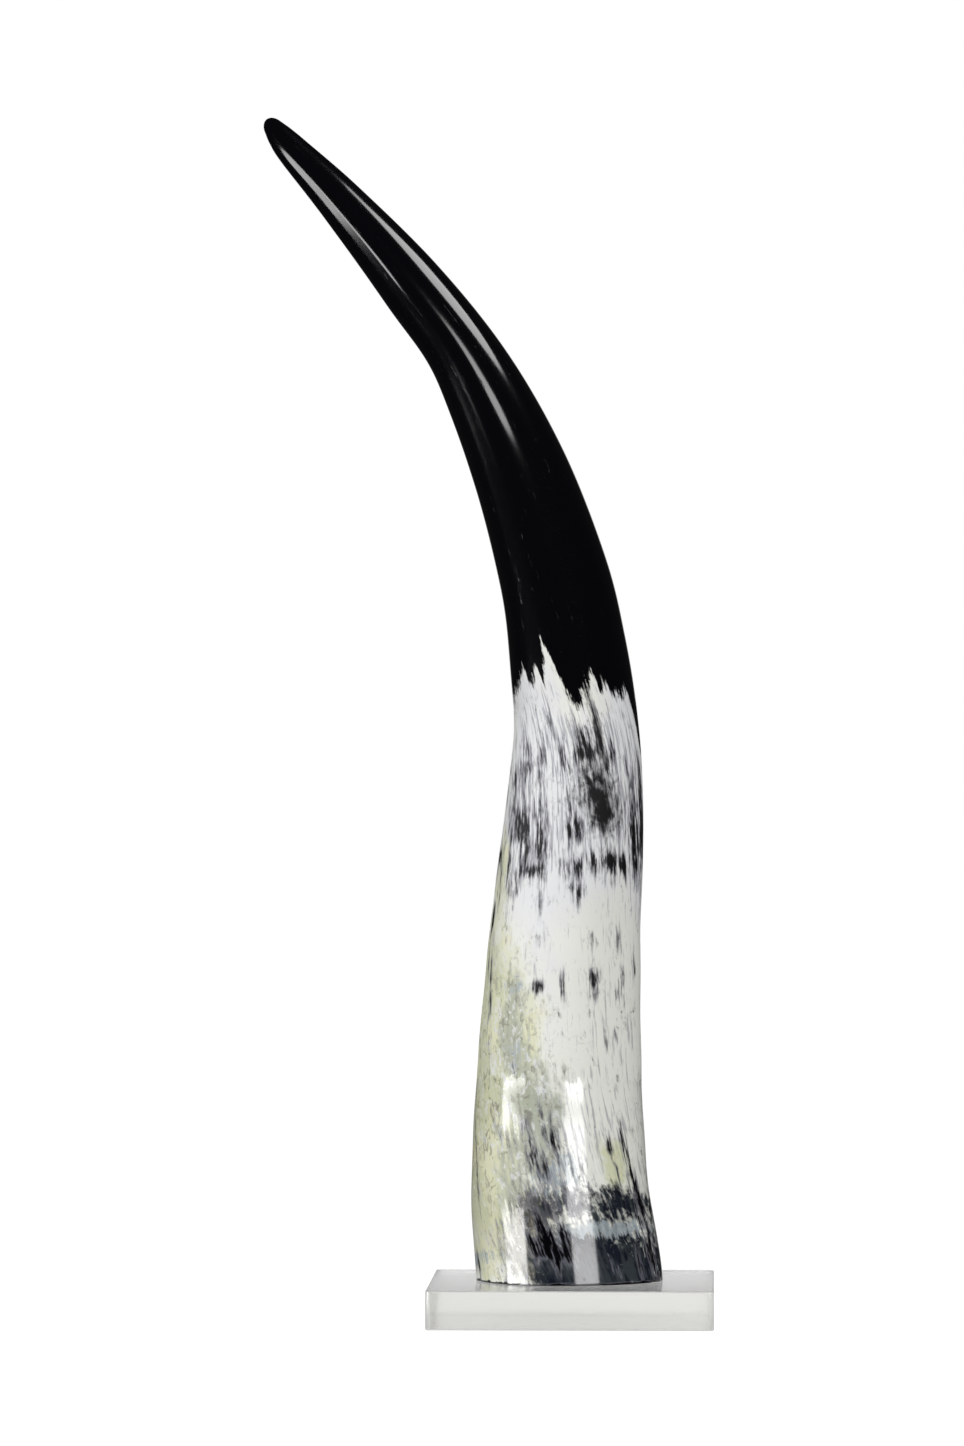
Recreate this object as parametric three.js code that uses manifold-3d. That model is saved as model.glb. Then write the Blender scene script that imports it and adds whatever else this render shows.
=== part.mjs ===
// A polished cow horn, sawn flat at its root and standing on a clear acrylic slab.
// Millimetres, +Z up. The origin is the middle of the slab's underside, the front is
// towards -Y, and the horn sweeps up to the left, towards -X, and a little to the back.

import * as THREE from "three";
import { mergeVertices, toCreasedNormals } from "three/addons/utils/BufferGeometryUtils.js";
import Module from "manifold-3d";

// The slab: a square of cast acrylic sheet with eased edges.
const SLAB_SIDE = 110;
const SLAB_THICKNESS = 15;
const SLAB_CORNER_RADIUS = 2;
const SLAB_EDGE_EASE = 0.8;

// The horn's axis from root to tip. Each station gives its height above the table, how far
// it lies to the right of and behind the slab's middle, and the horn's half width there.
const AXIS_STATIONS = [
  { height: 15, right: -2.7, back: 0, halfWidth: 34.5 },
  { height: 50, right: -5.1, back: 3.1, halfWidth: 34.4 },
  { height: 95, right: -5.4, back: 6.3, halfWidth: 32.1 },
  { height: 150, right: -3.1, back: 6.9, halfWidth: 29.3 },
  { height: 205, right: 1, back: 4.6, halfWidth: 26.2 },
  { height: 234, right: 1.3, back: 3.9, halfWidth: 24 },
  { height: 262, right: -1.9, back: 4.1, halfWidth: 22.8 },
  { height: 289.9, right: -7.3, back: 5.2, halfWidth: 21.4 },
  { height: 329.8, right: -20.2, back: 9.5, halfWidth: 18.8 },
  { height: 367.8, right: -38.2, back: 16, halfWidth: 15.5 },
  { height: 402.7, right: -62.8, back: 24, halfWidth: 12.9 },
  { height: 435.7, right: -90.8, back: 33.5, halfWidth: 9.3 },
  { height: 456.6, right: -110.4, back: 39.5, halfWidth: 6.55 },
  { height: 463, right: -116, back: 40.8, halfWidth: 5.25 },
  { height: 466.9, right: -119.1, back: 41.5, halfWidth: 3.9 },
];

// The round nose beyond the last station: its length, and how far round it starts.
const NOSE_LENGTH = 4.1;
const NOSE_START = Math.PI / 9;

// The root is an oval, flatter from front to back, and the horn is round from here up.
const ROOT_DEPTH_RATIO = 0.87;
const ROUND_FROM_HEIGHT = 260;

// Long flats left by the rasp, as shares of the half width. They wind up the horn.
const FLATS = [
  { count: 3, depth: 0.012, turns: 0.35, start: 0.4 },
  { count: 5, depth: 0.008, turns: -0.25, start: 2.1 },
];

// Growth rings, all but polished away, that fade out above the pale part.
const RING_DEPTH = 0.1;
const RING_SPACING = 33;
const RING_SLANT = 0.7;
const RINGS_FADE_FROM_HEIGHT = 138;
const RINGS_END_HEIGHT = 230;

// Broad swellings of the surface. The angle is taken round the axis from the front,
// growing to the right, and the reaches are the distances over which one dies away.
const SWELLINGS = [
  { name: "shoulder", height: 184, angle: 85, lift: 0.5, reachUp: 20, reachRound: 50 },
  { name: "waist", height: 250, angle: -95, lift: 0.5, reachUp: 14, reachRound: 55 },
  { name: "elbow", height: 381, angle: -95, lift: -1.4, reachUp: 15, reachRound: 60 },
  { name: "heel", height: 15, angle: 95, lift: 3.4, reachUp: 24, reachRound: 42 },
];

// The horn's mesh, and the spare length below the cut that the saw takes off.
const SIDES = 48;
const RINGS = 60;
const TIP_RINGS = 5;
const SAW_ALLOWANCE = 9;
const CREASE_ANGLE = Math.PI / 5;

const POLISHED_BLACK = 0x0b0a0c;
const PALE_HORN = 0xd9d8cf;
const CLEAR_ACRYLIC = 0xe4e6e2;
const BLACK_FROM_HEIGHT = 236;

const wasm = await Module();
wasm.setup();

// The axis, with one more station below the first for the length that is sawn off.
const first = AXIS_STATIONS[0];
const second = AXIS_STATIONS[1];
const allowance = SAW_ALLOWANCE / (second.height - first.height);
const before = (key) => first[key] - (second[key] - first[key]) * allowance;
const sawnOff = {
  height: before("height"),
  right: before("right"),
  back: before("back"),
  halfWidth: before("halfWidth"),
};
const stations = [sawnOff, ...AXIS_STATIONS];
const axis = new THREE.CatmullRomCurve3(
  stations.map((s) => new THREE.Vector3(s.right, s.back, s.height)),
  false,
  "catmullrom",
);
const widths = new THREE.CatmullRomCurve3(
  stations.map((s) => new THREE.Vector3(s.halfWidth, 0, 0)),
  false,
  "catmullrom",
);

// Steps from 0 to 1 between two values, with soft ends.
function smooth(low, high, value) {
  return THREE.MathUtils.smoothstep(value, low, high);
}

// How much the surface stands out at an angle in radians and a height, in millimetres.
function relief(angle, height, halfWidth) {
  const share = height / AXIS_STATIONS.at(-1).height;
  let out = 0;
  for (const flat of FLATS) {
    const phase = flat.count * (angle + 2 * Math.PI * flat.turns * share) + flat.start;
    out += halfWidth * flat.depth * Math.cos(phase);
  }
  const ringFade = 1 - smooth(RINGS_FADE_FROM_HEIGHT, RINGS_END_HEIGHT, height);
  const ringPhase = (2 * Math.PI * height) / RING_SPACING + RING_SLANT * Math.sin(angle);
  out += ringFade * RING_DEPTH * Math.sin(ringPhase);
  for (const swelling of SWELLINGS) {
    const turn = angle - THREE.MathUtils.degToRad(swelling.angle);
    const round = Math.atan2(Math.sin(turn), Math.cos(turn));
    const up = (height - swelling.height) / swelling.reachUp;
    const side = THREE.MathUtils.radToDeg(round) / swelling.reachRound;
    out += swelling.lift * Math.exp(-up * up - side * side);
  }
  return out;
}

// A point of the horn: how far along the axis, from 0 to 1, at what angle round it, what
// share of the way out to the surface, and how far past the axis's end.
function hornPoint(along, angle, share, beyond) {
  const centre = axis.getPoint(along);
  const tangent = axis.getTangent(along);
  const halfWidth = widths.getPoint(along).x;
  const front = new THREE.Vector3(0, -1, 0).projectOnPlane(tangent).normalize();
  const right = new THREE.Vector3().crossVectors(tangent, front);
  const roundness = smooth(0, ROUND_FROM_HEIGHT, centre.z);
  const depthRatio = ROOT_DEPTH_RATIO + (1 - ROOT_DEPTH_RATIO) * roundness;
  const radius = (halfWidth + relief(angle, centre.z, halfWidth)) * share;
  return centre
    .addScaledVector(right, radius * Math.sin(angle))
    .addScaledVector(front, radius * depthRatio * Math.cos(angle))
    .addScaledVector(tangent, beyond);
}

// A lathe turning of the straight horn, of radius 1, then bent along the axis.
function bentHorn() {
  const profile = [new THREE.Vector2(0, 0)];
  for (let i = 0; i <= RINGS; i++) {
    profile.push(new THREE.Vector2(1, i / RINGS));
  }
  for (let i = 1; i <= TIP_RINGS; i++) {
    const turn = NOSE_START + (Math.PI / 2 - NOSE_START) * (i / TIP_RINGS);
    const share = i === TIP_RINGS ? 0 : Math.cos(turn) / Math.cos(NOSE_START);
    const rise = (Math.sin(turn) - Math.sin(NOSE_START)) / (1 - Math.sin(NOSE_START));
    profile.push(new THREE.Vector2(share, 1 + rise));
  }
  const geometry = new THREE.LatheGeometry(profile, SIDES);
  const position = geometry.attributes.position;
  const point = new THREE.Vector3();
  for (let i = 0; i < position.count; i++) {
    point.fromBufferAttribute(position, i);
    const share = Math.hypot(point.x, point.z);
    const angle = share > 0 ? Math.atan2(point.x, point.z) : 0;
    const along = Math.min(point.y, 1);
    const beyond = (point.y - along) * NOSE_LENGTH;
    const bent = hornPoint(along, angle, share, beyond);
    position.setXYZ(i, bent.x, bent.y, bent.z);
  }
  return geometry;
}

function toSolid(geometry) {
  const bare = geometry.clone();
  bare.deleteAttribute("normal");
  bare.deleteAttribute("uv");
  const merged = mergeVertices(bare);
  return new wasm.Manifold(
    new wasm.Mesh({
      numProp: 3,
      vertProperties: merged.attributes.position.array,
      triVerts: new Uint32Array(merged.index.array),
    }),
  );
}

function toGeometry(solid) {
  const mesh = solid.getMesh();
  const geometry = new THREE.BufferGeometry();
  geometry.setAttribute("position", new THREE.BufferAttribute(mesh.vertProperties, 3));
  geometry.setIndex(new THREE.BufferAttribute(mesh.triVerts, 1));
  return toCreasedNormals(geometry, CREASE_ANGLE);
}

// Black towards the tip and pale towards the root, as vertex colours.
function tint(geometry) {
  const position = geometry.attributes.position;
  const black = new THREE.Color(POLISHED_BLACK);
  const pale = new THREE.Color(PALE_HORN);
  const colours = new THREE.Float32BufferAttribute(position.count * 3, 3);
  for (let i = 0; i < position.count; i++) {
    const colour = position.getZ(i) > BLACK_FROM_HEIGHT ? black : pale;
    colours.setXYZ(i, colour.r, colour.g, colour.b);
  }
  geometry.setAttribute("color", colours);
}

// The horn, sawn flat where it stands on the slab.
function makeHorn() {
  const sawCut = new THREE.BoxGeometry(SLAB_SIDE, SLAB_SIDE, SLAB_SIDE);
  sawCut.translate(0, 0, SLAB_THICKNESS - SLAB_SIDE / 2);
  const geometry = toGeometry(toSolid(bentHorn()).subtract(toSolid(sawCut)));
  tint(geometry);
  const material = new THREE.MeshStandardMaterial({
    vertexColors: true,
    roughness: 0.12,
    metalness: 0,
  });
  const horn = new THREE.Mesh(geometry, material);
  horn.name = "horn";
  return horn;
}

// A square outline with small round corners.
function slabOutline(side, radius) {
  const half = side / 2;
  const outline = new THREE.Shape();
  outline.absarc(half - radius, half - radius, radius, 0, Math.PI / 2);
  outline.absarc(radius - half, half - radius, radius, Math.PI / 2, Math.PI);
  outline.absarc(radius - half, radius - half, radius, Math.PI, 1.5 * Math.PI);
  outline.absarc(half - radius, radius - half, radius, 1.5 * Math.PI, 2 * Math.PI);
  return outline;
}

function makeSlab() {
  const outline = slabOutline(SLAB_SIDE - 2 * SLAB_EDGE_EASE, SLAB_CORNER_RADIUS - SLAB_EDGE_EASE);
  const geometry = new THREE.ExtrudeGeometry(outline, {
    depth: SLAB_THICKNESS - 2 * SLAB_EDGE_EASE,
    bevelThickness: SLAB_EDGE_EASE,
    bevelSize: SLAB_EDGE_EASE,
    bevelSegments: 2,
    curveSegments: 4,
  });
  const material = new THREE.MeshStandardMaterial({
    color: CLEAR_ACRYLIC,
    roughness: 0.05,
    metalness: 0,
    transparent: true,
    opacity: 0.35,
  });
  const slab = new THREE.Mesh(geometry, material);
  slab.name = "acrylic_base";
  slab.position.z = SLAB_EDGE_EASE;
  return slab;
}

const mountedHorn = new THREE.Group();
mountedHorn.name = "mounted_horn";
mountedHorn.add(makeSlab(), makeHorn());

export default mountedHorn;
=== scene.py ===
import math
from collections import namedtuple

import bmesh
import bpy
import numpy as np
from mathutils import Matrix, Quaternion, Vector


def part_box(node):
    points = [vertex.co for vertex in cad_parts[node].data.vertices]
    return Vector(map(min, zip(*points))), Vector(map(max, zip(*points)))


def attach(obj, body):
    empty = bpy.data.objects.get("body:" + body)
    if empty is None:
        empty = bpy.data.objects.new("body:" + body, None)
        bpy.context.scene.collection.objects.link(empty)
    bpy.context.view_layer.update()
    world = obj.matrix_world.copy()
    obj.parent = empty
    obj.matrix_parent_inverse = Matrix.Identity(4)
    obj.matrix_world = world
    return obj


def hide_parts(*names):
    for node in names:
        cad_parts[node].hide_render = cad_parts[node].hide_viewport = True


bl_info = {
    "name": "Mounted Cow Horn",
    "version": (1, 0, 0),
    "blender": (4, 5, 0),
    "location": "3D View > Sidebar > Horn",
    "description": "Models a polished cow horn on a clear acrylic slab, with its stage",
    "category": "Object",
}

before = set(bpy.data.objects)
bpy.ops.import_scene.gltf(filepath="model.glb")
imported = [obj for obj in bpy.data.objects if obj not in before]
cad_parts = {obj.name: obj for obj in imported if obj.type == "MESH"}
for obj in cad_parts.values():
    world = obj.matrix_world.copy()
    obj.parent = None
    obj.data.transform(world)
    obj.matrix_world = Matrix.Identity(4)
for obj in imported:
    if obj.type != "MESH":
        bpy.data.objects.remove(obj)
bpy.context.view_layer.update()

MM = 0.001


def srgb(red, green, blue):
    """A colour given as it looks on screen, from 0 to 255, in Blender's linear values."""
    shares = (c / 255 for c in (red, green, blue))
    return tuple(s / 12.92 if s <= 0.04045 else ((s + 0.055) / 1.055) ** 2.4 for s in shares)


# The horn's axis from the sawn root to the tip, in millimetres: the height above the table,
# the distance to the right of and behind the slab's middle, and the half width there.
Station = namedtuple("Station", "height right back half_width")
STATIONS = [
    Station(15, -2.7, 0, 34.5),
    Station(50, -5.1, 3.1, 34.4),
    Station(95, -5.4, 6.3, 32.1),
    Station(150, -3.1, 6.9, 29.3),
    Station(205, 1, 4.6, 26.2),
    Station(234, 1.3, 3.9, 24),
    Station(262, -1.9, 4.1, 22.8),
    Station(289.9, -7.3, 5.2, 21.4),
    Station(329.8, -20.2, 9.5, 18.8),
    Station(367.8, -38.2, 16, 15.5),
    Station(402.7, -62.8, 24, 12.9),
    Station(435.7, -90.8, 33.5, 9.3),
    Station(456.6, -110.4, 39.5, 6.55),
    Station(463, -116, 40.8, 5.25),
    Station(466.9, -119.1, 41.5, 3.9),
]

# At how many points the axis is measured, so that rows of faces are evenly spaced along it.
AXIS_SAMPLES = 2000

# The round nose beyond the last station: its length, and how far round it starts.
NOSE_LENGTH = 4.1
NOSE_START = math.pi / 9

# The root is an oval, flatter from front to back, and the horn is round from here up.
ROOT_DEPTH_RATIO = 0.87
ROUND_FROM_HEIGHT = 260

# The saw cut: the spare length below it, the gap that keeps it off the slab, how far its
# corner is broken, and the height and strength of the painted contact shadow, a dark line
# along its foot where it meets the slab.
SAW_ALLOWANCE = 9
SAW_GAP = 0.05
SAW_BREAK = 0.25
CONTACT_SHADE_HEIGHT = 0.9
CONTACT_SHADE_STRENGTH = 3

# How far the polished surface lies inside the solid's.
POLISHED_OFF = 0.05

# Faces of more square millimetres than this are shaded flat.
LARGE_FACE = 100

# Long flats left by the rasp: how many round the horn, how deep as a share of the half
# width, how many turns they wind from root to tip, and the angle at which they start.
Flat = namedtuple("Flat", "count depth turns start")
FLATS = [Flat(3, 0.012, 0.35, 0.4), Flat(5, 0.008, -0.25, 2.1)]

# Growth rings, all but polished away, in millimetres.
RING_DEPTH = 0.1
RING_SPACING = 33
RING_SLANT = 0.7
RINGS_FADE_FROM_HEIGHT = 138
RINGS_END_HEIGHT = 230

# Broad swellings in millimetres, with their angle round the axis in degrees from the front,
# growing to the right, and the distances over which one dies away.
Swelling = namedtuple("Swelling", "height angle lift reach_up reach_round")
SWELLINGS = [
    Swelling(184, 85, 0.5, 20, 50),
    Swelling(250, -95, 0.5, 14, 55),
    Swelling(381, -95, -1.4, 15, 60),
    Swelling(15, 95, 3.4, 24, 42),
]

# The grain winds round the horn: by how many degrees a millimetre at each height. It is
# summed a millimetre at a time, to a height beyond the tip, and its pattern is laid out on a
# straight horn of one radius.
WIND = {0: 0.45, 40: 0.45, 80: 0.3, 120: 0.12, 160: 0.12, 200: 0.28, 235: 0.5, 270: 0.5, 300: 0}
BEYOND_TIP = 480.0
GRAIN_RADIUS = 30

# Where the black tip ends: its height at angles round the horn in degrees from the front,
# growing to the right, taken where the grain crosses the edge's middle height. The black
# fades over a few millimetres, and its strength stops growing at as many fades.
EDGE_HEIGHT = 240
EDGE_FADE = 4
EDGE_REACH = 4
BLACK_EDGE = {
    -170: 238, -160: 252, -150: 240, -128: 236, -122: 250, -112: 240, -100: 243, -83: 245,
    -62: 246, -54: 247, -42: 255, -36: 246, -27: 257, -24: 247, -12: 264, -8: 255, -5: 244,
    0: 238, 5: 238, 10: 241, 19: 245, 25: 251, 28: 240, 33: 245, 38: 244, 41: 240, 46: 242,
    50: 237, 61: 243, 66: 236, 76: 222, 86: 200, 100: 192, 112: 214, 118: 204, 132: 228,
    140: 218, 152: 240, 163: 230, 178: 246,
}

# A mark or patch of colour: its height in millimetres, its angle in degrees from the front,
# its length along the grain, its width across it, both in millimetres, and its strength.
Mark = namedtuple("Mark", "height angle length width strength")

# Black that comes down the right edge from the tip.
TIP_MARKS = [
    Mark(228, 78, 30, 7, 1.6),
    Mark(208, 80, 26, 6, 3.0),
    Mark(232, -2, 14, 8, 0.5),
]

# Dark flecks and streaks, from the black tip down to the root.
DARK_MARKS = [
    # under the black tip
    Mark(232, 19, 26, 3.6, 0.7),
    Mark(213, 27, 24, 3.4, 0.55),
    Mark(220, 8, 8, 7, 1.0),
    Mark(227, 8, 12, 5, 0.45),
    Mark(221, 34, 9, 3.4, 0.8),
    Mark(197, 28, 9, 6, 0.35),
    Mark(203, -3, 20, 3.4, 0.65),
    Mark(217, -10, 14, 3, 0.55),
    Mark(230, -22, 24, 2.6, 0.5),
    Mark(193, -47, 12, 4, 0.85),
    Mark(191, 4, 10, 7, 0.95),
    Mark(219, -33, 16, 5, 0.55),
    Mark(217, -47, 14, 4.5, 0.6),
    Mark(208, -60, 12, 5, 0.7),
    Mark(186, -39, 18, 3.6, 0.9),
    Mark(188, -25, 28, 4.5, 0.85),
    Mark(190, -57, 20, 6, 0.4),
    Mark(174, -31, 5, 9, 0.95),
    Mark(176, -3, 10, 6, 0.7),
    Mark(180, 8, 9, 4.5, 0.7),
    Mark(171, 11, 13, 4.5, 0.7),
    Mark(179, 21, 9, 4.5, 1.1),
    Mark(180, 35, 9, 8, 1.5),
    Mark(178, 49, 11, 4.5, 1.3),
    Mark(181, 66, 12, 5.5, 1.0),
    Mark(172, 37, 7, 6, 0.6),
    Mark(196, 60, 38, 6, 0.75),
    Mark(200, 76, 44, 7, 0.95),
    # the white middle
    Mark(163, -20, 24, 4, 0.65),
    Mark(167, 8, 14, 6, 0.65),
    Mark(168, -44, 14, 4, 0.65),
    Mark(169, -53, 20, 4, 0.65),
    Mark(149, 23, 9, 3, 0.9),
    Mark(151, 37, 9, 3, 0.7),
    Mark(150, 46, 11, 3.4, 0.9),
    Mark(147, -18, 7, 8, 0.5),
    Mark(129, -17, 6, 7, 1.2),
    Mark(130, 2, 15, 2.8, 0.85),
    Mark(132, 26, 15, 5, 1.0),
    Mark(128, 46, 7, 3, 0.8),
    Mark(134, 51, 14, 3, 0.8),
    Mark(138, 66, 12, 3, 0.8),
    Mark(113, 33, 12, 2.4, 0.7),
    Mark(107, 38, 10, 2.4, 0.7),
    Mark(111, 45, 8, 2.4, 0.65),
    Mark(123, -62, 50, 2.4, 1.3),
    Mark(153, -72, 24, 3.4, 0.85),
    Mark(166, -64, 18, 3, 0.75),
    # the streaked lower part
    Mark(74, -8, 20, 3.6, 0.75),
    Mark(69, -1, 20, 3, 0.6),
    Mark(61, -14, 20, 3.2, 0.7),
    Mark(56, -6, 20, 2.6, 0.6),
    Mark(66, -19, 22, 2.6, 0.65),
    Mark(66, 50, 34, 2.2, 0.85),
    Mark(52, 58, 30, 2, 0.8),
    Mark(32, 62, 26, 2.4, 1.2),
    Mark(58, 42, 22, 2, 0.6),
    Mark(68, 36, 10, 3.2, 0.75),
    Mark(56, 18, 16, 3, 0.7),
    Mark(45, 9, 16, 5, 0.85),
    Mark(29, -18, 12, 4, 1.2),
    Mark(32, -9, 18, 5, 1.3),
    Mark(31, 3, 18, 6, 1.2),
    Mark(24, -4, 14, 14, 0.8),
    Mark(46, 63, 14, 5, 0.9),
    Mark(33, 70, 26, 4, 1.1),
    Mark(19, 56, 14, 4, 1.0),
    Mark(20, 72, 18, 6, 1.2),
    Mark(17, 36, 8, 5, 0.8),
]

# The soft dark blotch under the tip, the smear that leads down to it, and one at the right.
SMUDGE_PATCHES = [
    Mark(198, 27, 20, 17, 1.05),
    Mark(209, 17, 26, 18, 0.75),
    Mark(228, 21, 28, 3.6, 0.6),
    Mark(222, 8, 20, 10, 0.55),
    Mark(198, 62, 30, 6, 0.45),
]

# Where the pale horn is clouded with fine grey streaks.
VEIL_PATCHES = [
    Mark(190, -42, 40, 36, 1.15),
    Mark(214, -50, 30, 20, 0.6),
    Mark(206, 22, 34, 16, 0.7),
    Mark(196, 26, 26, 30, 0.5),
    Mark(200, 62, 60, 18, 0.7),
    Mark(182, 5, 20, 60, 0.35),
    Mark(225, 6, 18, 10, 0.7),
    Mark(230, -8, 34, 50, 0.4),
    Mark(226, -28, 30, 36, 0.55),
    Mark(222, 38, 30, 14, 0.45),
    Mark(130, 20, 26, 50, 0.25),
    Mark(100, 55, 90, 30, 0.4),
    Mark(64, 30, 50, 50, 0.55),
    Mark(60, -20, 60, 40, 0.8),
    Mark(190, 180, 80, 90, 0.9),
    Mark(80, 180, 90, 90, 0.5),
]

# Where the white has a cool cast.
COOL_PATCHES = [
    Mark(215, -35, 90, 44, 1.0),
    Mark(178, -20, 50, 40, 0.8),
    Mark(192, 3, 40, 10, 0.9),
    Mark(135, -5, 60, 40, 0.3),
]

# Greenish and straw-coloured horn, most of it near the root.
OLIVE_PATCHES = [
    Mark(80, -72, 110, 50, 0.95),
    Mark(60, -62, 50, 34, 0.7),
    Mark(24, -68, 30, 20, 0.5),
    Mark(90, -46, 50, 20, 0.7),
    Mark(118, -63, 70, 38, 1.15),
    Mark(70, -42, 44, 16, 0.85),
    Mark(104, -20, 40, 14, 0.5),
    Mark(58, 45, 24, 22, 1.0),
    Mark(176, -65, 34, 12, 0.85),
    Mark(70, 160, 110, 60, 0.9),
]

# Grey-green clouds.
SMOKE_PATCHES = [
    Mark(112, -35, 50, 14, 1.1),
    Mark(70, -14, 50, 22, 1.05),
    Mark(90, -6, 40, 16, 0.5),
    Mark(64, -42, 56, 18, 0.45),
    Mark(48, -26, 30, 14, 0.7),
    Mark(20, -30, 24, 16, 0.9),
    Mark(38, -38, 20, 8, 0.5),
    Mark(60, 110, 90, 40, 0.8),
    Mark(90, -150, 90, 40, 0.7),
]

# Brown flecks at the root, and the brown streak under the tip.
UMBER_PATCHES = [
    Mark(42, -14, 20, 20, 1.1),
    Mark(24, -22, 30, 26, 1.2),
    Mark(40, 38, 10, 24, 0.6),
    Mark(228, 21, 34, 4.4, 1.3),
    Mark(26, 140, 30, 30, 0.9),
]

# Dark bands at the root.
SLATE_PATCHES = [
    Mark(44, 34, 15, 58, 1.0),
    Mark(33, 34, 12, 58, 0.25),
    Mark(17, 44, 30, 74, 1.35),
    Mark(18, 4, 26, 26, 1.0),
    Mark(54, -6, 20, 16, 0.6),
    Mark(36, 116, 50, 40, 1.0),
    Mark(20, 175, 30, 70, 1.0),
    Mark(26, -140, 30, 30, 0.6),
]

# Pale lines and crumbs over the dark root.
CHALK_PATCHES = [
    Mark(33, 30, 8, 60, 1.15),
    Mark(60, 6, 26, 18, 0.7),
    Mark(102, -30, 16, 16, 0.6),
    Mark(128, -36, 8, 14, 0.8),
    Mark(54, -10, 16, 24, 0.6),
]

# Where the polish is duller: on a patch near the root, and over the white middle, where it
# fades in and out between these heights.
DULL_PATCHES = [Mark(58, -32, 28, 36, 1.4)]
DULL_FADES_IN = (89, 97)
DULL_FADES_OUT = (226, 246)

# The sides and the back repeat the marks that are near the front, at these turns in degrees,
# each strewn by about this many millimetres, degrees and shares of its length.
REPEAT_TURNS = (125, 238)
REPEAT_WITHIN = 60
REPEAT_STREW = (4, 9, 0.15)


def spline(points, shares):
    """Points on the smooth curve through the given ones, at shares from 0 to 1 of their count."""
    ends = np.vstack([2 * points[0] - points[1], points, 2 * points[-1] - points[-2]])
    place = np.clip(shares, 0, 1) * (len(points) - 1)
    first = np.minimum(place.astype(int), len(points) - 2)
    part = (place - first)[:, None]
    before, start, end, after = (ends[first + i] for i in range(4))
    cubic = 3 * start - before - 3 * end + after
    square = 2 * before - 5 * start + 4 * end - after
    return start + part / 2 * (end - before + part * (square + part * cubic))


def smooth(low, high, value):
    """Steps from 0 to 1 between two values, with soft ends."""
    share = np.clip((value - low) / (high - low), 0, 1)
    return share * share * (3 - 2 * share)


def wrapped(degrees):
    """The same angle, between -180 and 180 degrees."""
    return (degrees + 180) % 360 - 180


def axis_stations():
    """Right, back, height and half width of each station, with one more below the saw cut."""
    rows = np.array([(s.right, s.back, s.height, s.half_width) for s in STATIONS], float)
    step = rows[1] - rows[0]
    return np.vstack([rows[0] - step * SAW_ALLOWANCE / step[2], rows])


def relief(angle, height, half_width):
    """How far the surface stands out at an angle in radians, in millimetres."""
    share = height / STATIONS[-1].height
    out = np.zeros_like(angle)
    for flat in FLATS:
        phase = flat.count * (angle + math.tau * flat.turns * share) + flat.start
        out += half_width * flat.depth * np.cos(phase)
    fade = 1 - smooth(RINGS_FADE_FROM_HEIGHT, RINGS_END_HEIGHT, height)
    out += fade * RING_DEPTH * np.sin(math.tau * height / RING_SPACING + RING_SLANT * np.sin(angle))
    for s in SWELLINGS:
        side = wrapped(np.degrees(angle) - s.angle) / s.reach_round
        up = (height - s.height) / s.reach_up
        out += s.lift * np.exp(-up * up - side * side)
    return out


def unit(vectors):
    """The vectors at length 1."""
    return vectors / np.linalg.norm(vectors, axis=1, keepdims=True)


def bend_horn(blank):
    """Bends points of the straight blank along the axis. Gives their places, and their
    places on the straight grain."""
    stations = axis_stations()
    fine = np.linspace(0, 1, AXIS_SAMPLES)
    steps = np.linalg.norm(np.diff(spline(stations, fine)[:, :3], axis=0), axis=1)
    travelled = np.concatenate([[0], np.cumsum(steps)])
    along = np.interp(np.clip(blank[:, 2], 0, 1) * travelled[-1], travelled, fine)
    centre = spline(stations, along)
    nudge = 1e-4
    tangent = unit((spline(stations, along + nudge) - spline(stations, along - nudge))[:, :3])
    viewer = np.array([0.0, -1.0, 0.0])
    front = unit(viewer - tangent * (tangent @ viewer)[:, None])
    right = np.cross(tangent, front)
    share = np.hypot(blank[:, 0], blank[:, 1])
    height = centre[:, 2]
    grain = np.where(share > 1e-6, np.arctan2(blank[:, 0], -blank[:, 1]), 0)
    angle = grain - np.radians(winding(height))
    radius = (centre[:, 3] + relief(angle, height, centre[:, 3]) - POLISHED_OFF) * share
    depth = ROOT_DEPTH_RATIO + (1 - ROOT_DEPTH_RATIO) * smooth(0, ROUND_FROM_HEIGHT, height)
    beyond = np.maximum(blank[:, 2] - 1, 0) / nose_reach() * (NOSE_LENGTH - POLISHED_OFF)
    places = (
        centre[:, :3]
        + right * (radius * np.sin(angle))[:, None]
        + front * (radius * depth * np.cos(angle))[:, None]
        + tangent * beyond[:, None]
    )
    pattern = np.stack([np.sin(grain), -np.cos(grain)], 1) * GRAIN_RADIUS
    return places, np.column_stack([pattern, height])


def half_width_at(height):
    """The horn's half width at a height, in millimetres."""
    return np.interp(height, [s.height for s in STATIONS], [s.half_width for s in STATIONS])


def winding(height):
    """How many degrees the grain has wound round at a height, from the table up."""
    heights = np.arange(0, BEYOND_TIP)
    rates = np.interp(heights, list(WIND), list(WIND.values()))
    return np.interp(height, heights, np.cumsum(rates))


def nose_reach():
    """How far the straight blank's nose of radius 1 reaches past its tube."""
    return 1 / math.cos(NOSE_START) - math.tan(NOSE_START)


def spread(marks, height, grain):
    """The marks' summed strength at points given by their height and their grain's angle."""
    total = np.zeros_like(height)
    for mark in marks:
        turn = wrapped(grain - mark.angle - winding(mark.height))
        across = np.radians(turn) * half_width_at(mark.height) / (mark.width / 2)
        up = (height - mark.height) / (mark.length / 2)
        total += mark.strength * np.exp(-across * across - up * up)
    return total


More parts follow.
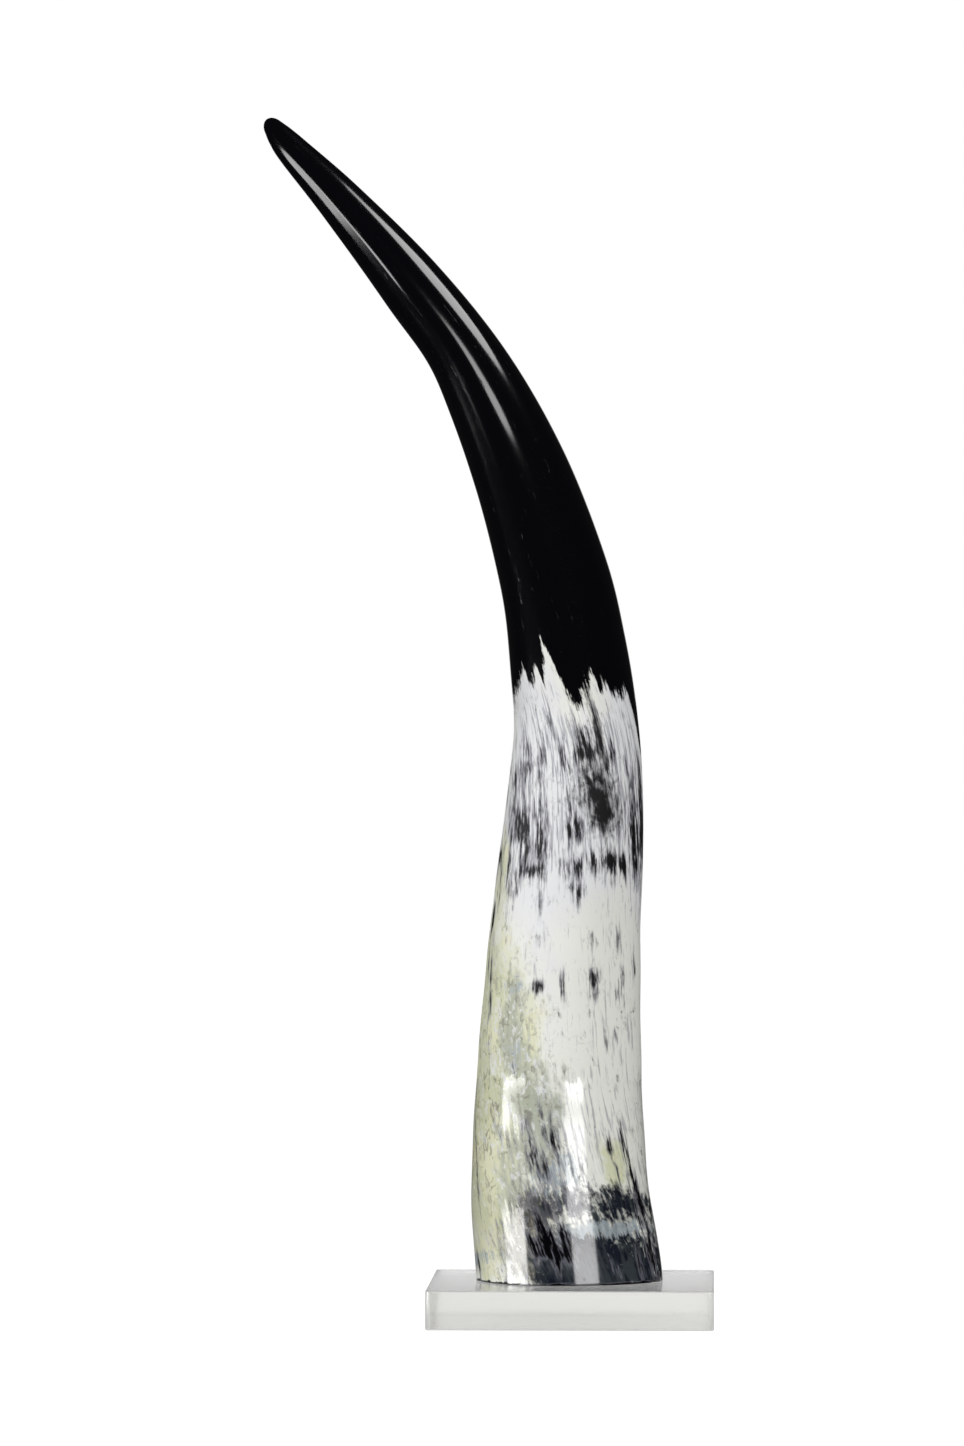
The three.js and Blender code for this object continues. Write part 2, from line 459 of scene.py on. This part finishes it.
def all_round(marks, seed):
    """The marks in front, and loose repeats of them for the sides and the back."""
    draw = np.random.default_rng(seed)
    repeats = []
    for turn in REPEAT_TURNS:
        for mark in marks:
            if abs(mark.angle) < REPEAT_WITHIN:
                height, angle, size = draw.normal(0, REPEAT_STREW)
                repeats.append(
                    mark._replace(
                        height=mark.height + height,
                        angle=mark.angle + turn + angle,
                        length=mark.length * (1 + size),
                    )
                )
    return marks + repeats


class Value:
    """An output of a material's nodes, on which Python's sums add Math nodes."""

    def __init__(self, nodes, socket):
        self.nodes = nodes
        self.socket = socket

    def math(self, operation, other):
        """What a Math node makes of this value and another."""
        sockets = {0: self, 1: other}
        return self.nodes.make("ShaderNodeMath", {"operation": operation}, sockets)

    def __add__(self, other):
        return self.math("ADD", other)

    def __sub__(self, other):
        return self.math("SUBTRACT", other)

    def __mul__(self, other):
        return self.math("MULTIPLY", other)

    def clamped(self):
        """The value, kept between 0 and 1."""
        return self.nodes.make("ShaderNodeClamp", {}, {"Value": self})

    def step(self, low, high):
        """0 below low and 1 above high, with soft ends."""
        sockets = {"Value": self, "From Min": low, "From Max": high}
        return self.nodes.make("ShaderNodeMapRange", {"interpolation_type": "SMOOTHSTEP"}, sockets)


class Nodes:
    """A node tree written as expressions on Values."""

    def __init__(self, tree):
        self.tree = tree
        self.tree.nodes.clear()

    def make(self, kind, settings, sockets, output=0):
        """A node of a type, with its settings set first and then its sockets' values or links."""
        node = self.tree.nodes.new(kind)
        for name, value in settings.items():
            setattr(node, name, value)
        for name, value in sockets.items():
            if isinstance(value, Value):
                self.tree.links.new(value.socket, node.inputs[name])
            else:
                node.inputs[name].default_value = value
        return Value(self, node.outputs[output]) if node.outputs else None

    def attribute(self, name):
        """A number kept on the piece's points."""
        return self.make("ShaderNodeAttribute", {"attribute_name": name}, {}, "Fac")

    def grain(self, across, along):
        """Places on the straight grain, scaled across it and along it, in waves a millimetre."""
        place = self.make("ShaderNodeAttribute", {"attribute_name": "grain"}, {}, "Vector")
        scale = {0: place, 1: (across, across, along)}
        return self.make("ShaderNodeVectorMath", {"operation": "MULTIPLY"}, scale)

    def noise(self, place, detail=2.0, roughness=0.5, distortion=0.0):
        """Cloudy noise from 0 to 1, about 0.5, at places given by a vector."""
        sockets = {"Vector": place, "Scale": 1.0, "Detail": detail, "Roughness": roughness}
        sockets["Distortion"] = distortion
        return self.make("ShaderNodeTexNoise", {}, sockets)

    def mix(self, share, first, second):
        """The first colour where the share is 0 and the second where it is 1."""
        colours = [c if isinstance(c, Value) else (*c, 1.0) for c in (first, second)]
        # The node's colours are sockets 6 and 7, and its mixed colour is output 2.
        sockets = {0: share, 6: colours[0], 7: colours[1]}
        return self.make("ShaderNodeMix", {"data_type": "RGBA"}, sockets, 2)


def new_material(name):
    """An empty material and its nodes."""
    material = bpy.data.materials.new(name)
    material.use_nodes = True
    return material, Nodes(material.node_tree)


def polished_horn(settings):
    """Black at the tip, pale and marbled below, under a high polish. Each layer adds shares
    of the noises to the strength of its marks, which breaks up their edges, and where the
    sum is high enough the layer covers the ones before it."""
    material, nodes = new_material("polished_horn")

    # noises laid along the grain, from fine hairs to broad clouds
    hair = nodes.noise(nodes.grain(1.2, 0.1), 2) - 0.5
    fibre = nodes.noise(nodes.grain(0.6, 0.06), 3) - 0.5
    dash = nodes.noise(nodes.grain(0.65, 0.15), 3, 0.6) - 0.5
    crumb = nodes.noise(nodes.grain(0.32, 0.24), 4, 0.6, 1.0) - 0.5
    patch = nodes.noise(nodes.grain(0.13, 0.08), 3, 0.6, 0.5) - 0.5
    cloud = nodes.noise(nodes.grain(0.05, 0.03), 2) - 0.5
    flecked = dash * 0.5 + hair * 0.25 + fibre * 0.25

    # the strengths of the marks and patches
    veil = nodes.attribute("veil")
    cool = nodes.attribute("cool")
    # the real dark flecks, with the painted contact shadow along the foot
    ink_and_contact_shade = nodes.attribute("ink_and_contact_shade")
    olive = nodes.attribute("olive")
    smoke = nodes.attribute("smoke")
    umber = nodes.attribute("umber")
    slate = nodes.attribute("slate")
    smudge = nodes.attribute("smudge")
    chalk = nodes.attribute("chalk")
    tip = nodes.attribute("tip")
    dull = nodes.attribute("dull")

    # white horn with fine grey streaks
    cool_share = (cool + cloud * 1.4 + patch * 0.8).step(0.1, 0.9)
    colour = nodes.mix(cool_share, settings.warm_white, settings.cool_white)
    streaks = (hair * 2.2 + fibre * 1.8 + veil * 0.5 - 0.35).step(0, 0.4)
    colour = nodes.mix(streaks * 0.6, colour, settings.grey_streak)

    # olive and grey-green clouds, and brown flecks
    olive_share = (olive + patch * 1.6 + crumb * 0.6).step(0.25, 0.95)
    olive_tone = nodes.mix((cloud + patch * 0.6).step(-0.15, 0.2), settings.olive, settings.straw)
    colour = nodes.mix(olive_share * 0.9, colour, olive_tone)

    smoke_share = (smoke + patch * 1.4 + dash * 1.3).step(0.3, 1.0)
    colour = nodes.mix(smoke_share * 0.85, colour, settings.smoke)

    umber_share = (umber + dash * 2.0 + crumb * 1.2).step(0.3, 1.0)
    umber_tone = nodes.mix((patch + dash).step(-0.1, 0.15), settings.taupe, settings.umber)
    colour = nodes.mix(umber_share * 0.9, colour, umber_tone)

    # pale and dark crumbs over them
    marbled = (smoke + olive * 0.4 + umber).clamped()
    pale_crumbs = (crumb + dash * 0.5).step(0.03, 0.14) * marbled
    colour = nodes.mix(pale_crumbs * 0.75, colour, settings.cool_white)
    dark_crumbs = (fibre * 0.5 - crumb).step(0.04, 0.16) * marbled
    colour = nodes.mix(dark_crumbs * 0.7, colour, settings.taupe)

    # dark bands at the root, with chalky lines
    slate_share = (slate + crumb * 1.7 + patch + dash * 1.2).step(0.3, 1.0)
    slate_tone = nodes.mix((patch + fibre).step(-0.12, 0.12), settings.slate, settings.navy)
    colour = nodes.mix(slate_share, colour, slate_tone)

    chalk_share = (chalk + crumb * 2.2 + hair * 1.4).step(0.55, 0.9)
    colour = nodes.mix(chalk_share * 0.75, colour, settings.chalk)

    # dark marks with a grey edge, and the painted contact shadow along the foot, broken by the
    # grain, and the soft blotch
    inked_and_shaded = ink_and_contact_shade + veil * 0.42
    broken = inked_and_shaded * 0.8 + flecked * (inked_and_shaded.clamped() * 4.5 + 1.0)
    colour = nodes.mix(broken.step(0.2, 0.8) * 0.65, colour, settings.halo)
    smudged = (smudge + patch * 1.4 + crumb * 1.6 + dash * 1.6).step(0.1, 1.35)
    colour = nodes.mix(smudged, colour, settings.black)
    colour = nodes.mix(broken.step(0.52, 1.15), colour, settings.black)

    # the black tip
    tip_share = (tip + flecked * 7.0 + crumb * 2.0).step(-0.5, 0.5)
    colour = nodes.mix(tip_share, colour, settings.black)

    dulled = (dull + fibre * 1.6 + crumb * 1.2).step(0.25, 0.75)
    shader = nodes.make(
        "ShaderNodeBsdfPrincipled",
        {},
        {
            "Base Color": colour,
            "Roughness": dulled * settings.dulling + settings.roughness + crumb * 0.03,
            "IOR": settings.refraction,
        },
    )
    nodes.make("ShaderNodeOutputMaterial", {}, {"Surface": shader})
    return material


def clear_acrylic(settings):
    """Cast acrylic, nearly colourless, that lets light through to what is under it."""
    material, nodes = new_material("clear_acrylic")
    glass = nodes.make(
        "ShaderNodeBsdfPrincipled",
        {},
        {
            "Base Color": (1.0, 1.0, 1.0, 1.0),
            "Roughness": settings.roughness,
            "IOR": settings.refraction,
            "Transmission Weight": 1.0,
        },
    )
    light = nodes.make("ShaderNodeLightPath", {}, {}, "Is Shadow Ray")
    passed = (settings.shade, settings.shade, settings.shade, 1.0)
    open_air = nodes.make("ShaderNodeBsdfTransparent", {}, {"Color": passed})
    surface = nodes.make("ShaderNodeMixShader", {}, {0: light, 1: glass, 2: open_air})
    tint = (*settings.tint, 1.0)
    volume = nodes.make(
        "ShaderNodeVolumeAbsorption", {}, {"Color": tint, "Density": settings.absorption}
    )
    nodes.make("ShaderNodeOutputMaterial", {}, {"Surface": surface, "Volume": volume})
    return material


def add_piece(name, mesh, material, node):
    """Links a finished mesh as a piece that rides on the root and stands for a CAD node."""
    piece = bpy.data.objects.new(name, mesh)
    bpy.context.scene.collection.objects.link(piece)
    mesh.materials.append(material)
    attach(piece, "root")
    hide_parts(node)
    return piece


def straight_blank(sides, rings, tip_rings):
    """A tube of radius 1 from 0 to 1 along Z, closed by a round nose."""
    bm = bmesh.new()
    low = bm.verts.new((0, -1, 0))
    high = bm.verts.new((0, -1, 1))
    edge = bm.edges.new((low, high))
    bmesh.ops.subdivide_edges(bm, edges=[edge], cuts=rings - 1)
    end = max(bm.verts, key=lambda vert: vert.co.z)
    bmesh.ops.spin(
        bm,
        geom=[end],
        cent=(0, 0, 1 - math.tan(NOSE_START)),
        axis=(-1, 0, 0),
        angle=math.pi / 2 - NOSE_START,
        steps=tip_rings,
    )
    bmesh.ops.spin(
        bm,
        geom=bm.verts[:] + bm.edges[:],
        cent=(0, 0, 0),
        axis=(0, 0, 1),
        angle=math.tau,
        steps=sides,
        use_merge=True,
    )
    bmesh.ops.remove_doubles(bm, verts=bm.verts[:], dist=1e-5)
    return bm


def saw_flat(bm, height):
    """Cuts the horn off level at a height and closes the cut, with its corner just broken."""
    geom = bm.verts[:] + bm.edges[:] + bm.faces[:]
    bmesh.ops.bisect_plane(
        bm, geom=geom, plane_co=(0, 0, height), plane_no=(0, 0, 1), clear_inner=True
    )
    rim = [e for e in bm.edges if e.is_boundary]
    bmesh.ops.edgeloop_fill(bm, edges=rim)
    round_edges(bm, rim, SAW_BREAK * MM, segments=2)


def round_edges(bm, edges, radius, segments):
    """Rounds edges over by a radius in metres."""
    bmesh.ops.bevel(
        bm,
        geom=edges,
        affect="EDGES",
        offset=radius,
        offset_type="OFFSET",
        segments=segments,
        profile=0.5,
        material=-1,
    )


def shade_smooth(bm, sharp_over):
    """Smooth faces, but for the large flat ones, with sharp edges where two faces meet at
    more than an angle."""
    for face in bm.faces:
        face.smooth = face.calc_area() < LARGE_FACE * MM * MM
    for edge in bm.edges:
        edge.smooth = len(edge.link_faces) == 2 and edge.calc_face_angle(0) < sharp_over


class HornSettings(bpy.types.PropertyGroup):
    sides: bpy.props.IntProperty(
        name="Sides", description="Faces round the horn", default=216, min=24, max=240
    )
    rings: bpy.props.IntProperty(
        name="Rings", description="Rows of faces from root to tip", default=440, min=60, max=520
    )
    tip_rings: bpy.props.IntProperty(
        name="Tip Rings", description="Rows of faces over the round tip", default=12, min=4, max=24
    )
    roughness: bpy.props.FloatProperty(
        name="Roughness", description="How dull the polish is", default=0.1, min=0, max=1,
        subtype="FACTOR",
    )
    dulling: bpy.props.FloatProperty(
        name="Dulling", description="How much duller the polish is on the dull parts",
        default=0.55, min=0, max=1, subtype="FACTOR",
    )
    refraction: bpy.props.FloatProperty(
        name="Refraction", description="Refractive index of horn", default=1.54, min=1
    )
    black: bpy.props.FloatVectorProperty(
        name="Black", description="The tip and the darkest flecks", subtype="COLOR",
        default=srgb(5, 5, 8),
    )
    halo: bpy.props.FloatVectorProperty(
        name="Halo", description="The grey edge of a dark fleck", subtype="COLOR",
        default=srgb(118, 118, 128),
    )
    warm_white: bpy.props.FloatVectorProperty(
        name="Warm White", description="Pale horn", subtype="COLOR", default=srgb(231, 232, 224)
    )
    cool_white: bpy.props.FloatVectorProperty(
        name="Cool White", description="Pale horn with a lavender cast", subtype="COLOR",
        default=srgb(228, 229, 230),
    )
    grey_streak: bpy.props.FloatVectorProperty(
        name="Grey Streak", description="Fine streaks in the pale horn", subtype="COLOR",
        default=srgb(150, 150, 160),
    )
    olive: bpy.props.FloatVectorProperty(
        name="Olive", description="Greenish horn near the root", subtype="COLOR",
        default=srgb(200, 203, 168),
    )
    straw: bpy.props.FloatVectorProperty(
        name="Straw", description="Yellowish horn near the root", subtype="COLOR",
        default=srgb(225, 224, 187),
    )
    smoke: bpy.props.FloatVectorProperty(
        name="Smoke", description="Grey-green horn that light sinks into", subtype="COLOR",
        default=srgb(164, 169, 153),
    )
    taupe: bpy.props.FloatVectorProperty(
        name="Taupe", description="Brownish-grey horn near the root", subtype="COLOR",
        default=srgb(132, 128, 118),
    )
    umber: bpy.props.FloatVectorProperty(
        name="Umber", description="Dark brown flecks and pores near the root", subtype="COLOR",
        default=srgb(60, 55, 50),
    )
    chalk: bpy.props.FloatVectorProperty(
        name="Chalk", description="Pale blue-grey lines over the dark root", subtype="COLOR",
        default=srgb(165, 175, 180),
    )
    slate: bpy.props.FloatVectorProperty(
        name="Slate", description="Dark bands at the root", subtype="COLOR",
        default=srgb(50, 56, 59),
    )
    navy: bpy.props.FloatVectorProperty(
        name="Navy", description="The darkest part of the bands", subtype="COLOR",
        default=srgb(24, 28, 38),
    )


class SlabSettings(bpy.types.PropertyGroup):
    corner_radius: bpy.props.FloatProperty(
        name="Corner Radius", description="Radius of the slab's upright corners",
        default=2 * MM, unit="LENGTH",
    )
    edge_ease: bpy.props.FloatProperty(
        name="Edge Ease", description="How far the slab's long edges are rounded over",
        default=0.6 * MM, unit="LENGTH",
    )
    roughness: bpy.props.FloatProperty(
        name="Roughness", description="How satin the faces are", default=0.2, min=0, max=1,
        subtype="FACTOR",
    )
    refraction: bpy.props.FloatProperty(
        name="Refraction", description="Refractive index of acrylic", default=1.49, min=1
    )
    tint: bpy.props.FloatVectorProperty(
        name="Tint", description="Colour of the light that the acrylic passes", subtype="COLOR",
        default=(0.87, 0.87, 0.855),
    )
    absorption: bpy.props.FloatProperty(
        name="Absorption", description="How fast the acrylic takes up light", default=19.0, min=0
    )
    shade: bpy.props.FloatProperty(
        name="Shade", description="Share of the light that reaches what the slab shades",
        default=0.9, min=0, max=1, subtype="FACTOR",
    )


class StageSettings(bpy.types.PropertyGroup):
    floor: bpy.props.FloatVectorProperty(
        name="Floor", description="Colour of the floor", subtype="COLOR", default=(0.1, 0.1, 0.1)
    )
    floor_glow: bpy.props.FloatProperty(
        name="Floor Glow", description="How brightly the floor is lit from below", default=1.0,
        min=0,
    )
    fill: bpy.props.FloatProperty(
        name="Fill", description="Light of the surroundings on rough surfaces", default=0.3, min=0
    )
    around: bpy.props.FloatProperty(
        name="Around", description="Brightness of the surroundings as the polish mirrors them",
        default=0.015, min=0,
    )
    behind: bpy.props.FloatProperty(
        name="Behind", description="How much brighter they are straight behind the horn",
        default=0.6, min=0,
    )
    lens: bpy.props.FloatProperty(
        name="Lens", description="Focal length of the camera", default=174, unit="CAMERA"
    )


class HORN_OT_add_horn(bpy.types.Operator):
    """Model the cow horn"""

    bl_idname = "horn.add_horn"
    bl_label = "Add Horn"

    def execute(self, context):
        settings = context.scene.horn_settings
        bm = straight_blank(settings.sides, settings.rings, settings.tip_rings)
        places, pattern = bend_horn(np.array([v.co for v in bm.verts]))
        grain = bm.verts.layers.float_vector.new("grain")
        for vert, place, spot in zip(bm.verts, places, pattern):
            vert.co = place * MM
            vert[grain] = spot
        slab_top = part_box("acrylic_base")[1].z
        bmesh.ops.recalc_face_normals(bm, faces=bm.faces[:])
        saw_flat(bm, slab_top + SAW_GAP * MM)
        shade_smooth(bm, sharp_over=math.radians(40))
        mesh = bpy.data.meshes.new("cow_horn")
        bm.to_mesh(mesh)
        bm.free()
        self.paint(mesh)
        add_piece("cow_horn", mesh, polished_horn(settings), "horn")
        return {"FINISHED"}

    def paint(self, mesh):
        """Writes the strength of the marks and patches to the mesh's points."""
        spots = np.zeros(len(mesh.vertices) * 3)
        mesh.vertices.foreach_get("co", spots)
        above_cut = spots[2::3] / MM - STATIONS[0].height
        # A painted contact shadow: a dark line just above the cut, all round, where the horn meets
        # the slab.
        contact_shade = smooth(CONTACT_SHADE_HEIGHT, 0, above_cut) * CONTACT_SHADE_STRENGTH
        mesh.attributes["grain"].data.foreach_get("vector", spots)
        across, depth, height = spots.reshape(-1, 3).T
        grain = np.degrees(np.arctan2(across, -depth))
        crossing = wrapped(grain - winding(EDGE_HEIGHT))
        edge = np.interp(crossing, list(BLACK_EDGE), list(BLACK_EDGE.values()), period=360)
        black = (height - edge) / EDGE_FADE + spread(TIP_MARKS, height, grain)
        dull = smooth(*DULL_FADES_IN, height) * (1 - smooth(*DULL_FADES_OUT, height))
        fields = {
            "tip": np.clip(black, -EDGE_REACH, EDGE_REACH),
            "dull": np.clip(dull + spread(DULL_PATCHES, height, grain), 0, 1),
            "veil": spread(VEIL_PATCHES, height, grain),
            "cool": spread(all_round(COOL_PATCHES, seed=3), height, grain),
            # The real dark flecks, and the painted contact shadow along the foot.
            "ink_and_contact_shade": spread(all_round(DARK_MARKS, seed=7), height, grain) + contact_shade,
            "olive": spread(OLIVE_PATCHES, height, grain),
            "smoke": spread(SMOKE_PATCHES, height, grain),
            "umber": spread(UMBER_PATCHES, height, grain),
            "slate": spread(SLATE_PATCHES, height, grain),
            "smudge": spread(all_round(SMUDGE_PATCHES, seed=11), height, grain),
            "chalk": spread(all_round(CHALK_PATCHES, seed=5), height, grain),
        }
        for name, values in fields.items():
            attribute = mesh.attributes.new(name, "FLOAT", "POINT")
            attribute.data.foreach_set("value", values)


class HORN_OT_add_slab(bpy.types.Operator):
    """Model the clear slab that the horn stands on"""

    bl_idname = "horn.add_slab"
    bl_label = "Add Slab"

    def execute(self, context):
        settings = context.scene.slab_settings
        low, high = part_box("acrylic_base")
        size, middle = high - low, (high + low) / 2
        bm = bmesh.new()
        bmesh.ops.create_cube(bm, size=1)
        bmesh.ops.scale(bm, vec=size, verts=bm.verts[:])
        bmesh.ops.translate(bm, vec=middle, verts=bm.verts[:])
        upright = [e for e in bm.edges if abs(e.verts[0].co.z - e.verts[1].co.z) > size.z / 2]
        round_edges(bm, upright, settings.corner_radius, segments=8)
        level = [e for e in bm.edges if abs(e.verts[0].co.z - e.verts[1].co.z) < size.z / 2]
        round_edges(bm, level, settings.edge_ease, segments=4)
        shade_smooth(bm, sharp_over=math.radians(50))
        mesh = bpy.data.meshes.new("clear_slab")
        bm.to_mesh(mesh)
        bm.free()
        add_piece("clear_slab", mesh, clear_acrylic(settings), "acrylic_base")
        return {"FINISHED"}


# A soft light: the point that it faces and its bearing from there in degrees, 0 in front and
# growing to the right, its distance, its height above the floor, its width and height in
# metres, how far it is rolled, its outline, its brightness, where white paper shows 1, and
# whether it is only seen mirrored.
Lamp = namedtuple(
    "Lamp", "name around bearing distance height width tall roll shape brightness mirrored"
)
LAMPS = [
    Lamp("key_right", (0, 0, 0.2), 24, 2.2, 1.3, 1.2, 1.2, 0, "RECTANGLE", 8.2, False),
    Lamp("key_left", (0, 0, 0.2), -62, 2.2, 1.3, 1.2, 1.2, 0, "RECTANGLE", 7.3, False),
    Lamp(
        "tip_broad", (-0.097, 0.027, 0.437), -73, 0.45, 0.381, 0.3, 0.042, -29, "ELLIPSE", 8.4, True
    ),
    Lamp(
        "tip_tail", (-0.078, 0.018, 0.414), -57, 0.45, 0.426, 0.07, 0.064, -29, "ELLIPSE", 8.4, True
    ),
    Lamp("tip_front", (-0.04, 0.003, 0.368), -5, 0.9, 0.905, 0.26, 0.14, -20, "ELLIPSE", 7.0, True),
    Lamp("tip_overhead", (-0.06, 0.015, 0.4), 75, 0.42, 1.1, 0.46, 0.36, 0, "ELLIPSE", 7.4, True),
    Lamp("root_left", (-0.005, 0, 0.06), -61, 0.7, 0.08, 0.44, 0.2, 0, "RECTANGLE", 11, True),
    Lamp("root_right", (-0.005, 0, 0.06), 27, 0.7, 0.14, 0.27, 0.11, 0, "RECTANGLE", 9.5, True),
]

# In metres.
FLOOR_RADIUS = 8

# Straight behind the horn, as the share of a direction that points to the back: where the
# brighter surroundings begin, and where they are at their brightest.
BEHIND_FADE = (0.95, 0.99)

# The camera's place in metres, its tilt from looking straight down and its turn to the left,
# in degrees.
CAMERA_PLACE = (0.055, -2.715, 0.226)
CAMERA_TILT = 90.115
CAMERA_TURN = 1.9


class HORN_OT_set_stage(bpy.types.Operator):
    """Set out the floor, the lights, the pale surroundings and the camera"""

    bl_idname = "horn.set_stage"
    bl_label = "Set Stage"

    def execute(self, context):
        settings = context.scene.stage_settings
        self.add_floor(settings)
        for lamp in LAMPS:
            self.add_lamp(lamp)
        self.set_world(context.scene, settings)
        self.add_camera(context.scene, settings)
        context.scene.view_settings.view_transform = "Standard"
        return {"FINISHED"}

    def add_floor(self, settings):
        """A pale floor, a little below the slab, that lights nothing itself."""
        material, nodes = new_material("pale_floor")
        shader = nodes.make(
            "ShaderNodeBsdfPrincipled",
            {},
            {
                "Base Color": (*settings.floor, 1.0),
                "Roughness": 1.0,
                "Specular IOR Level": 0.0,
                "Emission Color": (1.0, 1.0, 1.0, 1.0),
                "Emission Strength": settings.floor_glow,
            },
        )
        nodes.make("ShaderNodeOutputMaterial", {}, {"Surface": shader})
        bm = bmesh.new()
        bmesh.ops.create_circle(bm, cap_ends=True, segments=96, radius=FLOOR_RADIUS)
        bmesh.ops.translate(bm, vec=(0, 0, -SAW_GAP * MM), verts=bm.verts[:])
        mesh = bpy.data.meshes.new("floor")
        bm.to_mesh(mesh)
        bm.free()
        mesh.materials.append(material)
        floor = bpy.data.objects.new("floor", mesh)
        bpy.context.scene.collection.objects.link(floor)
        floor.visible_glossy = False
        floor.visible_diffuse = False

    def add_lamp(self, lamp):
        """One of the soft lights."""
        light = bpy.data.lights.new(lamp.name, "AREA")
        light.shape = lamp.shape
        light.size = lamp.width
        light.size_y = lamp.tall
        filled = math.pi / 4 if lamp.shape == "ELLIPSE" else 1
        light.energy = lamp.brightness * math.pi * lamp.width * lamp.tall * filled
        turn = math.radians(lamp.bearing)
        around = Vector(lamp.around)
        reach = Vector((math.sin(turn), -math.cos(turn), 0)) * lamp.distance
        place = around + reach
        place.z = lamp.height
        roll = Quaternion((0, 0, 1), -math.radians(lamp.roll))
        holder = bpy.data.objects.new(lamp.name, light)
        bpy.context.scene.collection.objects.link(holder)
        holder.location = place
        holder.rotation_euler = ((around - place).to_track_quat("-Z", "Y") @ roll).to_euler()
        holder.visible_camera = False
        holder.visible_glossy = lamp.mirrored
        holder.visible_diffuse = not lamp.mirrored
        holder.visible_transmission = False

    def set_world(self, scene, settings):
        """White to the camera and through the slab, and dim to the polish and on the horn."""
        world = bpy.data.worlds.new("surroundings")
        world.use_nodes = True
        nodes = Nodes(world.node_tree)
        seen, diffuse, mirrored, through = (
            nodes.make("ShaderNodeLightPath", {}, {}, output)
            for output in (
                "Is Camera Ray", "Is Diffuse Ray", "Is Glossy Ray", "Is Transmission Ray"
            )
        )
        direction = nodes.make("ShaderNodeTexCoord", {}, {}, "Generated")
        behind = nodes.make("ShaderNodeSeparateXYZ", {}, {0: direction}, "Y").step(*BEHIND_FADE)
        level = diffuse * settings.fill + mirrored * (behind * settings.behind + settings.around)
        level = level.math("MAXIMUM", seen.math("MAXIMUM", through))
        colour = nodes.mix(level, (0.0, 0.0, 0.0), (1.0, 1.0, 1.0))
        background = nodes.make("ShaderNodeBackground", {}, {"Color": colour, "Strength": 1.0})
        nodes.make("ShaderNodeOutputWorld", {}, {"Surface": background})
        scene.world = world

    def add_camera(self, scene, settings):
        """The camera, at the photograph's viewing angle."""
        camera = bpy.data.cameras.new("camera")
        camera.lens = settings.lens
        camera.sensor_width = 36
        camera.clip_start = 0.05
        camera.clip_end = 50
        holder = bpy.data.objects.new("camera", camera)
        scene.collection.objects.link(holder)
        holder.location = CAMERA_PLACE
        holder.rotation_euler = (math.radians(CAMERA_TILT), 0, math.radians(CAMERA_TURN))
        scene.camera = holder


class HORN_PT_panel(bpy.types.Panel):
    """The mounted horn's parts and settings"""

    bl_label = "Mounted Cow Horn"
    bl_idname = "HORN_PT_panel"
    bl_space_type = "VIEW_3D"
    bl_region_type = "UI"
    bl_category = "Horn"

    def draw(self, context):
        scene = context.scene
        parts = (
            (HORN_OT_add_horn, scene.horn_settings),
            (HORN_OT_add_slab, scene.slab_settings),
            (HORN_OT_set_stage, scene.stage_settings),
        )
        for operator, settings in parts:
            box = self.layout.box()
            box.operator(operator.bl_idname)
            for name in settings.__annotations__:
                box.prop(settings, name)


CLASSES = (
    HornSettings,
    SlabSettings,
    StageSettings,
    HORN_OT_add_horn,
    HORN_OT_add_slab,
    HORN_OT_set_stage,
    HORN_PT_panel,
)
SETTINGS = {
    "horn_settings": HornSettings,
    "slab_settings": SlabSettings,
    "stage_settings": StageSettings,
}


def register():
    for cls in CLASSES:
        bpy.utils.register_class(cls)
    for name, group in SETTINGS.items():
        setattr(bpy.types.Scene, name, bpy.props.PointerProperty(type=group))


def unregister():
    for name in SETTINGS:
        delattr(bpy.types.Scene, name)
    for cls in reversed(CLASSES):
        bpy.utils.unregister_class(cls)


def main():
    register()
    bpy.ops.horn.add_horn()
    bpy.ops.horn.add_slab()
    bpy.ops.horn.set_stage()


if __name__ == "__main__":
    main()
